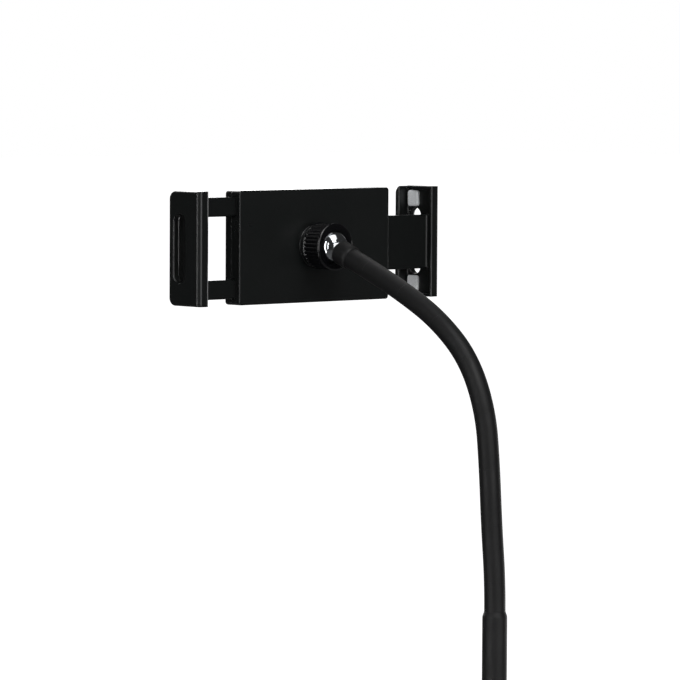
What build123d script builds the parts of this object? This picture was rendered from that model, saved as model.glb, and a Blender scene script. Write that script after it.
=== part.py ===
from build123d import *
import math
import os

# A floor stand: a weighted round base, a telescopic pole, a bendable neck and a spring clamp head.
# Millimetres and degrees. +Z is up, the origin is the middle of the base's underside,
# the held face looks along -Y, and the pole stands on the Z axis.

# Clearances and allowances
fit_gap = 0.1  # round running fits, measured on the radius
seat_gap = 0.05  # round seats of pieces that are fixed together, on the radius
slide_gap = 0.15  # flat sliding faces
soft_gap = 0.3  # faces that only pass each other
overrun = 3.0  # how far a cutter passes the face it opens

# Base
base_radius = 140.0
base_thickness = 8.0
base_top_round = 3.0
base_low_chamfer = 0.8
pad_thickness = 2.5
pad_rebate = 1.0
pad_margin = 9.0

# Base bolt, washer and the tube's threaded insert
bolt_radius = 5.0
bolt_head_radius = 8.5
bolt_head_height = 3.2
bolt_socket_width = 6.0
bolt_socket_depth = 2.2
bolt_length = 23.0
washer_radius = 10.5
washer_thickness = 1.2
counterbore_depth = 4.6
insert_length = 30.0

# Lower tube and the trim cone round its foot
lower_tube_radius = 12.5
lower_tube_wall = 1.5
lower_tube_length = 560.0
cone_foot_radius = 36.0
cone_top_radius = 16.0
cone_height = 28.0
cone_edge = 2.0
cone_hollow_share = 0.32

# Height collar on top of the lower tube
collar_radius = 18.5
collar_overlap = 34.0
collar_rise = 16.0
collar_lip = 2.5
collar_lip_gap = 0.4
collar_round = 2.5
collar_groove_width = 1.6
collar_groove_depth = 0.8
collar_groove_spacing = 5.0
collar_groove_count = 3
lug_radius = 8.0
lug_length = 25.5
lug_round = 1.0

# Clamp screw, its brass insert, its pressure tip and its hand knob
clamp_insert_radius = 4.5
clamp_insert_length = 10.9
clamp_stud_radius = 3.0
clamp_stud_bite = 11.5
tip_radius = 2.6
tip_length = 4.0
knob_radius = 16.0
knob_thickness = 14.0
knob_standoff = 0.7
knob_lobes = 6
knob_scallop_radius = 5.5
knob_scallop_centre = 19.5
knob_round = 1.6
knob_cap_radius = 7.0
knob_cap_recess = 1.2

# Split sleeve between the collar and the upper tube
sleeve_wall = 1.55
sleeve_height = 12.9
sleeve_slit = 1.5

# Upper tube, its guide bush and its top cap
upper_tube_radius = 9.5
upper_tube_wall = 1.2
upper_tube_length = 535.0
upper_tube_overlap = 190.0
bush_height = 28.0
bush_floor = 3.0
bush_hole_radius = 5.0
cap_plug_length = 18.0
cap_head_height = 20.0
cap_top_round = 1.2
cap_socket_depth = 4.0
grub_radius = 2.0
grub_length = 3.6
grub_drop = 12.0

# Neck: end ferrules, links of sheath and core, and the bend of each link at rest
ferrule_radius = 7.0
ferrule_round = 0.9
ferrule_show = 65.0
ferrule_stub_radius = 5.0
ferrule_stub_length = 14.0
sheath_radius = 6.0
sheath_bore_radius = 4.3
core_radius = 4.2
link_length = 31.5
link_turns = (5.5, -2.0, 2.5, 19.0, 24.5, 13.5, 4.5, 1.5)
knuckle_radius = 7.0
upper_ferrule_length = 10.5
sheath_bite = 6.0

# Ball stud
ball_radius = 9.5
ball_to_ferrule = 8.0
stem_radius = 5.5
tail_radius = 3.0
tail_length = 4.3

# Head: all depths run outwards from the plane that the held back rests on
ball_depth = 30.1
housing_width = 117.6
housing_height = 65.6
housing_front = 3.1
housing_split = 8.9
housing_back = 16.0
shell_wall = 2.0
shell_corner_round = 1.8
shell_front_round = 1.4
shell_back_round = 0.5
rest_pad_margin = 6.0
rest_pad_rebate = 0.4
rest_pad_corner = 3.0
rest_pad_groove_width = 1.6
rest_pad_groove_depth = 0.7
rest_pad_groove_spacing = 9.0
rest_pad_groove_count = 5

# Threaded spigot for the lock nut, and the boss that it stands on
spigot_boss_radius = 12.2
spigot_boss_height = 3.0
spigot_radius = 11.6
spigot_bore_radius = 10.45
spigot_end_depth = 26.7
spigot_floor_depth = 18.6

# Lock nut and the pieces round the ball
nut_radius = 13.65
nut_back_depth = 19.3
nut_front_depth = 33.4
nut_lip = 1.3
nut_front_chamfer = 0.75
nut_back_round = 0.4
nut_groove_count = 36
nut_groove_radius = 0.7
nut_groove_inset_share = 0.35
nut_rim = 1.7
nut_mouth_gap = 0.1
collet_gap = 0.05
collet_front_gap = 0.1
collet_slit = 1.2
liner_thickness = 0.85
liner_half_angle = 22.0
liner_gap = 0.05
cup_floor = 0.9
cup_rise_angle = 20.0

# Arms: a fork of two rails at +X, one wide tongue between them at -X
grip_width = 178.5
grip_offset = 5.45
arm_length = 97.0
arm_thickness = 3.15
arm_edge_round = 0.4
fork_outer_span = 58.3
fork_inner_span = 36.2
tongue_height = 31.9
peg_radius = 1.2
peg_place = 54.0
spring_radius = 1.5
spring_bore_radius = 1.0
spring_eye_wire = 0.35
spring_eye_gap = 0.35
spring_tail = 4.0
anchor_place = 45.0
fork_spring_height = 23.6
tongue_spring_height = 9.0

# Ribs, posts and screws inside the housing
rib_width = 1.2
rib_end_gap = 1.5
guide_rib_width = 1.5
fork_rib_heights = (19.8, 27.5)
tongue_rib_heights = (3.8, 14.2)
back_rib_width = 4.0
post_radius = 2.8
post_place = 51.0
fork_post_height = 24.0
tongue_post_height = 9.0
screw_radius = 1.2
screw_head_radius = 2.6
screw_head_height = 1.5
screw_length = 8.0
screw_recess = 1.6

# Jaws: a channel with a front lip, a slotted side wall and a back flange
jaw_height = 65.6
jaw_width = 7.0
jaw_wall = 4.0
jaw_front = -10.0
jaw_back = 16.1
lip_thickness = 3.0
lip_reach = 5.0
lip_edge_round = 0.8
flange_thickness = 2.1
jaw_back_chamfer = 1.9
jaw_front_round = 1.2
jaw_corner_round = 4.5
end_wall = 1.65
end_wall_setback = 1.8
slot_height = 39.7
slot_width = 9.6
slot_middle = -0.9
jaw_pad_height = 9.4
jaw_pad_low = -5.7
jaw_pad_high = 2.8
jaw_pad_thickness = 1.95
jaw_pad_slot_gap = 0.75
jaw_pad_corner = 1.5

LOW = (Align.CENTER, Align.CENTER, Align.MIN)
CORNER = (Align.MIN, Align.MIN, Align.MIN)
TO_Y = Rot(-90, 0, 0)  # turns a piece built along Z so that it points along +Y

# Heights up the pole
base_low = pad_thickness - pad_rebate
base_high = base_low + base_thickness
tube_top = base_high + lower_tube_length
collar_top = tube_top + collar_rise
sleeve_outer = upper_tube_radius + fit_gap + sleeve_wall
sleeve_middle = tube_top + collar_rise / 2 - collar_lip / 2
upper_low = tube_top - upper_tube_overlap
upper_high = upper_low + upper_tube_length
cap_top = upper_high + cap_head_height
neck_foot = cap_top + ferrule_show
cup_radius = knuckle_radius + soft_gap
upper_ferrule_start = ball_to_ferrule + upper_ferrule_length

# Half sizes of the head, and the rest place of each jaw's flange edge
half_width = housing_width / 2
half_height = housing_height / 2
jaw_half = jaw_height / 2
pad_proud = jaw_pad_thickness - (jaw_width - jaw_wall)
fork_place = grip_width / 2 - grip_offset + pad_proud
tongue_place = grip_width / 2 + grip_offset + pad_proud
arm_front = housing_split + slide_gap
arm_back = arm_front + arm_thickness
cavity_front = housing_front + shell_wall
cavity_back = housing_back - shell_wall
spring_depth = (cavity_front + arm_front) / 2


def ring(outer, inner, low, high):
    """A tube on the Z axis between two heights, or a rod where the inner radius is zero."""
    body = Pos(0, 0, low) * Cylinder(outer, high - low, align=LOW)
    if inner:
        body -= Pos(0, 0, low - overrun) * Cylinder(inner, high - low + 2 * overrun, align=LOW)
    return body


def block(xs, ys, zs):
    """A box between a low and a high limit on each axis."""
    size = [high - low for low, high in (xs, ys, zs)]
    return Pos(xs[0], ys[0], zs[0]) * Box(*size, align=CORNER)


def edges_where(body, axis, test):
    """The body's straight edges along an axis whose middle point passes the test."""
    return [edge for edge in body.edges().filter_by(axis) if test(edge.center())]


def near(value, target):
    """True where two coordinates are the same place."""
    return abs(value - target) < seat_gap


def rims_at(body, radius, height):
    """The body's round edges of one radius at one height on the Z axis."""
    rims = body.edges().filter_by(GeomType.CIRCLE)
    return [rim for rim in rims if near(rim.radius, radius) and near(rim.center().Z, height)]


def both(values):
    """Each value with its minus."""
    return [sign * value for value in values for sign in (1, -1)]


# Base pieces


def base_plate():
    """The round steel weight, with a rebate for the pad and a counterbore for the bolt."""
    plate = ring(base_radius, 0, base_low, base_high)
    plate = fillet(rims_at(plate, base_radius, base_high), base_top_round)
    plate = chamfer(rims_at(plate, base_radius, base_low), base_low_chamfer)
    plate -= ring(base_radius - pad_margin + fit_gap, 0, base_low - overrun, pad_thickness)
    plate -= ring(washer_radius + fit_gap, 0, base_low, pad_thickness + counterbore_depth)
    return plate - ring(bolt_radius + fit_gap, 0, base_low, base_high + overrun)


def underside_pad():
    """The full round anti-slip pad that the stand rests on."""
    return ring(base_radius - pad_margin, 0, 0, pad_thickness)


def base_washer():
    """The washer under the bolt's head."""
    top = pad_thickness + counterbore_depth
    return ring(washer_radius, bolt_radius + fit_gap, top - washer_thickness, top)


def base_bolt():
    """The socket screw that pulls the tube down on the base."""
    head_top = pad_thickness + counterbore_depth - washer_thickness
    head_low = head_top - bolt_head_height
    bolt = ring(bolt_head_radius, 0, head_low, head_top)
    bolt += ring(bolt_radius, 0, head_top, head_top + bolt_length)
    socket = RegularPolygon(bolt_socket_width / math.sqrt(3), 6)
    return bolt - Pos(0, 0, head_low) * extrude(socket, bolt_socket_depth)


def tube_insert():
    """The threaded plug pressed into the lower tube's foot."""
    outer = lower_tube_radius - lower_tube_wall - seat_gap
    return ring(outer, bolt_radius + fit_gap, base_high, base_high + insert_length)


def foot_cone():
    """The trim cone round the tube's foot, with a hollow flank."""
    bore = lower_tube_radius + fit_gap
    top = base_high + cone_height
    low_corner = (cone_foot_radius, 0, base_high + cone_edge)
    high_corner = (cone_top_radius, 0, top - cone_edge)
    share = cone_hollow_share
    middle_r = cone_foot_radius * share + cone_top_radius * (1 - share)
    middle_z = (base_high + cone_edge) * (1 - share) + (top - cone_edge) * share
    flank = ThreePointArc(low_corner, (middle_r, 0, middle_z), high_corner)
    sides = Polyline(
        [
            high_corner,
            (cone_top_radius, 0, top),
            (bore, 0, top),
            (bore, 0, base_high),
            (cone_foot_radius, 0, base_high),
            low_corner,
        ]
    )
    return revolve(make_face([flank, sides]), Axis.Z)


def lower_tube():
    """The fixed tube of the pole."""
    inner = lower_tube_radius - lower_tube_wall
    return ring(lower_tube_radius, inner, base_high, tube_top)


# Height collar and its clamp screw


def height_collar():
    """The moulded collar that holds the upper tube, with a lug for the clamp screw."""
    low = tube_top - collar_overlap
    body = ring(collar_radius, 0, low, collar_top)
    body = fillet(rims_at(body, collar_radius, collar_top), collar_round)
    body = fillet(rims_at(body, collar_radius, low), collar_round)
    for step in range(collar_groove_count):
        height = low + collar_round + (step + 1) * collar_groove_spacing
        deep = collar_radius - collar_groove_depth
        body -= ring(collar_radius + overrun, deep, height, height + collar_groove_width)
    lug = TO_Y * Cylinder(lug_radius, lug_length, align=LOW)
    lug = fillet(lug.edges().group_by(Axis.Y)[-1], lug_round)
    body += Pos(0, 0, sleeve_middle) * lug
    body -= ring(lower_tube_radius + seat_gap, 0, low - overrun, tube_top)
    body -= ring(sleeve_outer + fit_gap, 0, low, collar_top - collar_lip)
    body -= ring(upper_tube_radius + collar_lip_gap, 0, low, collar_top + overrun)
    seat = ring(clamp_insert_radius + seat_gap, 0, lug_length - clamp_insert_length, lug_length + overrun)
    bore = ring(tip_radius + fit_gap, 0, 0, lug_length)
    return body - Pos(0, 0, sleeve_middle) * TO_Y * (seat + bore)


def clamp_insert():
    """The threaded brass insert in the lug."""
    inner = clamp_stud_radius + fit_gap
    insert = ring(clamp_insert_radius, inner, lug_length - clamp_insert_length, lug_length)
    return Pos(0, 0, sleeve_middle) * TO_Y * insert


def pressure_tip():
    """The plain tip that the screw pushes against the sleeve without turning."""
    start = sleeve_outer + fit_gap
    return Pos(0, 0, sleeve_middle) * TO_Y * ring(tip_radius, 0, start, start + tip_length)


def clamp_stud():
    """The threaded stud moulded into the knob."""
    start = sleeve_outer + fit_gap + tip_length + slide_gap
    end = lug_length + knob_standoff + clamp_stud_bite
    return Pos(0, 0, sleeve_middle) * TO_Y * ring(clamp_stud_radius, 0, start, end)


def clamp_knob():
    """The lobed hand knob on the stud."""
    low = lug_length + knob_standoff
    high = low + knob_thickness
    knob = ring(knob_radius, 0, low, high)
    for step in range(knob_lobes):
        cutter = Pos(knob_scallop_centre, 0, low - overrun) * Cylinder(
            knob_scallop_radius, knob_thickness + 2 * overrun, align=LOW
        )
        knob -= Rot(0, 0, step * 360 / knob_lobes) * cutter
    ends = knob.edges().group_by(Axis.Z)
    knob = fillet(ends[0] + ends[-1], knob_round)
    knob -= ring(knob_cap_radius, 0, high - knob_cap_recess, high + overrun)
    knob -= ring(clamp_stud_radius + seat_gap, 0, low - overrun, low + clamp_stud_bite + seat_gap)
    return Pos(0, 0, sleeve_middle) * TO_Y * knob


def knob_cap():
    """The small disc that closes the knob's face."""
    high = lug_length + knob_standoff + knob_thickness
    cap = ring(knob_cap_radius - seat_gap, 0, high - knob_cap_recess, high)
    return Pos(0, 0, sleeve_middle) * TO_Y * cap


def friction_sleeve():
    """The split sleeve that the tip squeezes on the upper tube."""
    low = tube_top + soft_gap
    sleeve = ring(sleeve_outer, upper_tube_radius + fit_gap, low, low + sleeve_height)
    half_slit = sleeve_slit / 2
    reach = -sleeve_outer - overrun
    return sleeve - block((-half_slit, half_slit), (reach, 0), (low - overrun, collar_top))


# Upper tube of the pole


def upper_tube():
    """The sliding tube of the pole."""
    inner = upper_tube_radius - upper_tube_wall
    return ring(upper_tube_radius, inner, upper_low, upper_high)


def guide_bush():
    """The nylon bush that centres the upper tube's foot in the lower tube."""
    outer = lower_tube_radius - lower_tube_wall - fit_gap
    low = upper_low - bush_floor
    bush = ring(outer, 0, low, low + bush_height)
    bush -= ring(upper_tube_radius + seat_gap, 0, upper_low, low + bush_height + overrun)
    return bush - ring(bush_hole_radius, 0, low - overrun, upper_low)


def pole_cap():
    """The plug and head on the upper tube that carry the neck's lower ferrule."""
    plug = upper_tube_radius - upper_tube_wall - seat_gap
    cap = ring(plug, 0, upper_high - cap_plug_length, upper_high)
    head = ring(upper_tube_radius, 0, upper_high, cap_top)
    cap += fillet(rims_at(head, upper_tube_radius, cap_top), cap_top_round)
    cap -= ring(ferrule_radius + seat_gap, 0, cap_top - cap_socket_depth, cap_top + overrun)
    stub_end = cap_top - cap_socket_depth - ferrule_stub_length
    cap -= ring(ferrule_stub_radius + seat_gap, 0, stub_end, cap_top)
    hole = TO_Y * Cylinder(grub_radius + seat_gap, upper_tube_radius + overrun, align=LOW)
    return cap - Pos(0, 0, cap_top - grub_drop) * hole


def grub_screw():
    """The set screw that holds the ferrule's stub in the cap."""
    start = ferrule_stub_radius
    screw = TO_Y * ring(grub_radius, 0, start, start + grub_length)
    return Pos(0, 0, cap_top - grub_drop) * screw


def lower_ferrule():
    """The smooth sleeve at the neck's foot, with a round shoulder and a cup for the first link."""
    shoulder = neck_foot - math.sqrt(cup_radius**2 - sheath_radius**2)
    ferrule = ring(ferrule_radius, 0, cap_top - cap_socket_depth, shoulder)
    ferrule = fillet(rims_at(ferrule, ferrule_radius, shoulder), ferrule_round)
    stub_low = cap_top - cap_socket_depth - ferrule_stub_length
    ferrule += ring(ferrule_stub_radius, 0, stub_low, cap_top - cap_socket_depth)
    return ferrule - Pos(0, 0, neck_foot) * Sphere(cup_radius)


# Neck: a chain of links, each an arc at rest, that hinge on one another


def heading_plane(spot, heading):
    """A plane square to the neck, whose normal leans from +Z towards -Y by the heading."""
    lean = math.radians(heading)
    normal = (0, -math.sin(lean), math.cos(lean))
    return Plane(origin=(0, spot[0], spot[1]), x_dir=(1, 0, 0), z_dir=normal)


def neck_stations():
    """The (y, z) place and heading of each link's foot, and last of the neck's top."""
    y, z, heading = 0, neck_foot, 0
    stations = [((y, z), heading)]
    for turn in link_turns:
        half = math.radians(turn) / 2
        chord = link_length * math.sin(half) / half
        lean = math.radians(heading) + half
        y -= chord * math.sin(lean)
        z += chord * math.cos(lean)
        heading += turn
        stations.append(((y, z), heading))
    return stations


def link_solid(number, outer, inner):
    """One link of the neck: an arc with a ball-shaped foot and a cup-shaped top."""
    stations = neck_stations()
    (spot, heading), (top, top_heading) = stations[number], stations[number + 1]
    turn = link_turns[number]
    foot = heading_plane(spot, heading)
    section = foot * Circle(outer)
    if inner:
        section -= foot * Circle(inner)
    radius = link_length / math.radians(turn)
    lean = math.radians(heading)
    centre = (0, spot[0] - radius * math.cos(lean), spot[1] - radius * math.sin(lean))
    spin = Axis(centre, (math.copysign(1, turn), 0, 0))
    link = revolve(section, spin, abs(turn))
    knuckle = ring(outer, inner, -knuckle_radius, 0) & Sphere(knuckle_radius)
    link += foot.location * knuckle
    if number + 1 < len(link_turns):
        return link - Pos(0, top[0], top[1]) * Sphere(cup_radius)
    return link + heading_plane(top, top_heading).location * ring(outer, inner, 0, sheath_bite)


def ball_frame():
    """The ball's centre, turned so that +Z runs on along the neck's heading."""
    (y, z), heading = neck_stations()[-1]
    lean = math.radians(heading)
    reach = upper_ferrule_start
    centre = (y - reach * math.sin(lean), z + reach * math.cos(lean))
    return heading_plane(centre, heading).location


def upper_ferrule():
    """The short sleeve crimped on the neck's top, bored for the ball's tail."""
    far = -upper_ferrule_start
    ferrule = ring(ferrule_radius, 0, far, -ball_to_ferrule)
    ferrule = fillet(rims_at(ferrule, ferrule_radius, far), ferrule_round)
    ferrule = chamfer(rims_at(ferrule, ferrule_radius, -ball_to_ferrule), ferrule_round)
    ferrule -= ring(sheath_radius + seat_gap, 0, far - overrun, far + sheath_bite)
    ferrule -= ring(tail_radius + seat_gap, 0, far, 0)
    return ball_frame() * ferrule


def ball_stud():
    """The plated ball with its stem and its threaded tail."""
    stud = Sphere(ball_radius) - ring(ball_radius, 0, -ball_radius - overrun, -ball_to_ferrule)
    stud += ring(stem_radius, 0, -ball_to_ferrule, 0)
    stud += ring(tail_radius, 0, -ball_to_ferrule - tail_length, 0)
    return ball_frame() * stud


# Head: built about the ball's axis, depth along +Y, then moved to the ball


def on_head(body):
    """Moves a piece from the head's own frame, whose zero depth is the rest plane."""
    ball = ball_frame().position
    return Pos(0, ball.Y - ball_depth, ball.Z) * body


def friction_liner():
    """A thin spherical cap of friction pad behind the ball, in the ball's own frame."""
    inner = ball_radius + liner_gap
    outer = inner + liner_thickness
    shell = Sphere(outer) - Sphere(inner)
    reach = outer * math.tan(math.radians(liner_half_angle))
    wedge = Cone(reach, 0, outer, align=LOW)
    return on_head(Pos(0, ball_depth, 0) * TO_Y * (shell & Pos(0, 0, -outer) * wedge))


def seat_cup():
    """The round cup behind the ball, whose hollow the liner swings in."""
    hollow = ball_radius + liner_gap + liner_thickness + fit_gap
    rise = -hollow * math.sin(math.radians(cup_rise_angle))
    cup = ring(spigot_bore_radius - fit_gap, 0, -hollow - cup_floor, rise)
    return on_head(Pos(0, ball_depth, 0) * TO_Y * (cup - Sphere(hollow)))


def split_collet():
    """The split ring that the nut presses on the front of the ball."""
    low = spigot_end_depth - ball_depth + soft_gap
    high = nut_front_depth - nut_lip - ball_depth - collet_front_gap
    bore = ball_radius + collet_gap
    collet = ring(spigot_radius, bore, low, 0) + (ring(spigot_radius, 0, 0, high) - Sphere(bore))
    half_slit = collet_slit / 2
    slit = block((-half_slit, half_slit), (0, spigot_radius + overrun), (low - overrun, high + overrun))
    return on_head(Pos(0, ball_depth, 0) * TO_Y * (collet - slit))


def lock_nut():
    """The knurled ring nut, smooth at both rims, with a spherical mouth."""
    nut = ring(nut_radius, 0, nut_back_depth, nut_front_depth)
    nut = chamfer(rims_at(nut, nut_radius, nut_front_depth), nut_front_chamfer)
    nut = fillet(rims_at(nut, nut_radius, nut_back_depth), nut_back_round)
    length = nut_front_depth - nut_back_depth - 2 * nut_rim
    inset = nut_radius + nut_groove_radius * nut_groove_inset_share
    groove = Pos(inset, 0, nut_back_depth + nut_rim) * Cylinder(nut_groove_radius, length, align=LOW)
    for step in range(nut_groove_count):
        nut -= Rot(0, 0, step * 360 / nut_groove_count) * groove
    nut -= ring(spigot_radius + fit_gap, 0, nut_back_depth - overrun, nut_front_depth - nut_lip)
    nut -= Pos(0, 0, ball_depth) * Sphere(ball_radius + nut_mouth_gap)
    return on_head(TO_Y * nut)


def shell_block(low, high, edge_depth, edge_round):
    """A shell's outer block, round at its corners and along its face edges."""
    spans = ((-half_width, half_width), (low, high), (-half_height, half_height))
    body = block(*spans)
    body = fillet(body.edges().filter_by(Axis.Y), shell_corner_round)
    face_edges = [edge for edge in body.edges() if near(edge.center().Y, edge_depth)]
    return fillet(face_edges, edge_round)


def inner_space(low, high):
    """The room inside the shells between two depths."""
    x = half_width - shell_wall
    z = half_height - shell_wall
    return block((-x, x), (low, high), (-z, z))


def post_spots():
    """The (x, z) places of the four screws: clear of the fork at -X and the tongue at +X."""
    fork_side = [(-post_place, z) for z in both([fork_post_height])]
    return fork_side + [(post_place, z) for z in both([tongue_post_height])]


def along_y(radius, x, z, low, high):
    """A round rod along Y at one place of the head."""
    return Pos(x, 0, z) * TO_Y * ring(radius, 0, low, high)


def ribs_along_x(heights, width, low, high, end_gap):
    """Ribs along X at several heights, each ending a gap short of the side walls."""
    x = half_width - shell_wall - end_gap
    half = width / 2
    return [block((-x, x), (low, high), (z - half, z + half)) for z in heights]


def back_shell():
    """The rear casing: windows for the arms, guides, screw posts and the nut's spigot."""
    shell = shell_block(housing_split, housing_back, housing_back, shell_back_round)
    shell -= inner_space(housing_split - overrun, cavity_back)
    window = (housing_split - overrun, arm_back + slide_gap)
    fork_high = fork_outer_span / 2 + slide_gap
    fork_low = fork_inner_span / 2 - slide_gap
    tongue_high = tongue_height / 2 + slide_gap
    wall = (half_width - shell_wall - overrun, half_width + overrun)
    for low, high in ((fork_low, fork_high), (-fork_high, -fork_low)):
        shell -= block(wall, window, (low, high))
    shell -= block((-wall[1], -wall[0]), window, (-tongue_high, tongue_high))
    guides = both([(fork_inner_span / 2 + tongue_height / 2) / 2])
    for rib in ribs_along_x(guides, guide_rib_width, arm_front, cavity_back, rib_end_gap):
        shell += rib
    backing = both([fork_spring_height, tongue_spring_height])
    for rib in ribs_along_x(backing, back_rib_width, arm_back + slide_gap, cavity_back, rib_end_gap):
        shell += rib
    for x, z in post_spots():
        shell += along_y(post_radius, x, z, housing_split, cavity_back)
        shell -= along_y(screw_radius + seat_gap, x, z, housing_split - overrun, cavity_back)
    shell += TO_Y * ring(spigot_boss_radius, 0, cavity_back, housing_back + spigot_boss_height)
    shell += TO_Y * ring(spigot_radius, 0, cavity_back, spigot_end_depth)
    shell -= TO_Y * ring(spigot_bore_radius, 0, spigot_floor_depth, spigot_end_depth + overrun)
    return on_head(shell)


def front_shell():
    """The front casing: ribs under the arms, spring anchors, screw posts and the pad's rebate."""
    shell = shell_block(housing_front, housing_split, housing_front, shell_front_round)
    shell -= inner_space(cavity_front, housing_split + overrun)
    heights = both(fork_rib_heights + tongue_rib_heights)
    for rib in ribs_along_x(heights, rib_width, cavity_front, housing_split, 0):
        shell += rib
    for x, z in anchor_spots():
        shell += along_y(peg_radius, x, z, cavity_front, housing_split)
    x = half_width - rest_pad_margin
    z = half_height - rest_pad_margin
    shell -= block((-x, x), (housing_front - overrun, housing_front + rest_pad_rebate), (-z, z))
    for x, z in post_spots():
        shell += along_y(post_radius, x, z, cavity_front, housing_split)
        shell -= along_y(screw_radius + fit_gap, x, z, housing_front - overrun, housing_split + overrun)
        recess_end = housing_front + rest_pad_rebate + screw_recess
        shell -= along_y(screw_head_radius + fit_gap, x, z, housing_front - overrun, recess_end)
    return on_head(shell)


def shell_screws():
    """The four screws that close the housing, as one group."""
    seat = housing_front + rest_pad_rebate + screw_recess
    screws = []
    for x, z in post_spots():
        head = along_y(screw_head_radius, x, z, seat - screw_head_height, seat)
        screws.append(on_head(head + along_y(screw_radius, x, z, seat, seat + screw_length)))
    return Compound(children=screws)


def rest_pad():
    """The soft pad on the housing's face, with shallow grooves across it."""
    x = half_width - rest_pad_margin - slide_gap
    z = half_height - rest_pad_margin - slide_gap
    pad = block((-x, x), (0, housing_front + rest_pad_rebate), (-z, z))
    pad = fillet(pad.edges().filter_by(Axis.Y), rest_pad_corner)
    middle = (rest_pad_groove_count - 1) / 2
    half = rest_pad_groove_width / 2
    for step in range(rest_pad_groove_count):
        height = (step - middle) * rest_pad_groove_spacing
        groove = (height - half, height + half)
        pad -= block((-x - overrun, x + overrun), (-overrun, rest_pad_groove_depth), groove)
    return on_head(pad)


# Arms, jaws and springs


def anchor_spots():
    """The (x, z) places of the springs' fixed ends in the front shell."""
    fork_side = [(-anchor_place, z) for z in both([fork_spring_height])]
    return fork_side + [(anchor_place, z) for z in both([tongue_spring_height])]


def slot_cutter():
    """The rounded slot through a jaw's side wall."""
    round_radius = slot_width / 2
    straight = slot_height / 2 - round_radius
    across = (0, jaw_width + overrun)
    low = slot_middle - round_radius
    high = slot_middle + round_radius
    cutter = block(across, (low, high), (-straight, straight))
    for z in (-straight, straight):
        rod = Rot(0, 90, 0) * Cylinder(round_radius, across[1], align=LOW)
        cutter += Pos(0, slot_middle, z) * rod
    return cutter


def jaw_shell():
    """A jaw's channel: its flange's inner edge lies at X = 0 and its outside faces +X."""
    tall = (-jaw_half, jaw_half)
    wall_low = jaw_width - jaw_wall
    lip_back = jaw_front + lip_thickness
    flange_front = jaw_back - flange_thickness
    jaw = block((wall_low, jaw_width), (jaw_front, jaw_back), tall)
    jaw += block((-lip_reach, jaw_width), (jaw_front, lip_back), tall)
    jaw += block((0, jaw_width), (flange_front, jaw_back), tall)
    for low, high in ((jaw_half - end_wall, jaw_half), (-jaw_half, end_wall - jaw_half)):
        jaw += block((end_wall_setback, jaw_width), (jaw_front, jaw_back), (low, high))
        jaw += block((0, jaw_width), (slide_gap, jaw_back), (low, high))
    corners = edges_where(jaw, Axis.X, lambda p: near(p.Y, jaw_front) and near(abs(p.Z), jaw_half))
    jaw = fillet(corners, jaw_corner_round)
    back_edge = edges_where(jaw, Axis.Z, lambda p: near(p.X, jaw_width) and near(p.Y, jaw_back))
    jaw = chamfer(back_edge, jaw_back_chamfer)
    front_edge = edges_where(jaw, Axis.Z, lambda p: near(p.X, jaw_width) and near(p.Y, jaw_front))
    jaw = fillet(front_edge, jaw_front_round)
    lip_edge = edges_where(jaw, Axis.Z, lambda p: near(p.X, -lip_reach))
    jaw = fillet(lip_edge, lip_edge_round)
    return jaw - slot_cutter()


def arm_bar(low, high):
    """One flat bar of an arm, from the jaw inwards along -X."""
    root = jaw_width - jaw_wall
    bar = block((-arm_length, root), (arm_front, arm_back), (low, high))
    ends = edges_where(bar, Axis.Y, lambda p: near(p.X, -arm_length))
    bar = chamfer(ends, arm_edge_round)
    long_edges = edges_where(bar, Axis.X, lambda p: True)
    bar = fillet(long_edges, arm_edge_round)
    root_block = block((0, root), (arm_front, jaw_back - flange_thickness), (low, high))
    return bar + root_block


def arm_pegs(height):
    """The pegs on an arm's front face that pull its springs."""
    tip = spring_depth - spring_radius
    pegs = [along_y(peg_radius, -peg_place, z, tip, arm_back) for z in both([height])]
    return pegs[0] + pegs[1]


def fork_arm():
    """The +X jaw with its two rails."""
    inner = fork_inner_span / 2
    outer = fork_outer_span / 2
    arm = jaw_shell() + arm_bar(inner, outer) + arm_bar(-outer, -inner)
    arm += arm_pegs(fork_spring_height)
    return on_head(Pos(fork_place, 0, 0) * arm)


def tongue_arm():
    """The -X jaw with its one wide tongue."""
    half = tongue_height / 2
    arm = jaw_shell() + arm_bar(-half, half) + arm_pegs(tongue_spring_height)
    return on_head(Pos(-tongue_place, 0, 0) * Rot(0, 180, 0) * arm)


def jaw_pads():
    """The two soft pads on a jaw's inner wall, above and below its slot."""
    wall = jaw_width - jaw_wall
    low = slot_height / 2 + jaw_pad_slot_gap
    pads = []
    for base in (low, -low - jaw_pad_height):
        tall = (base, base + jaw_pad_height)
        pad = block((wall - jaw_pad_thickness, wall), (jaw_pad_low, jaw_pad_high), tall)
        pads.append(fillet(pad.edges().filter_by(Axis.X), jaw_pad_corner))
    return pads


def fork_jaw_pads():
    """The pads of the +X jaw, as one group."""
    place = Pos(fork_place, 0, 0)
    return Compound(children=[on_head(place * pad) for pad in jaw_pads()])


def tongue_jaw_pads():
    """The pads of the -X jaw, as one group."""
    place = Pos(-tongue_place, 0, 0) * Rot(0, 180, 0)
    return Compound(children=[on_head(place * pad) for pad in jaw_pads()])


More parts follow.
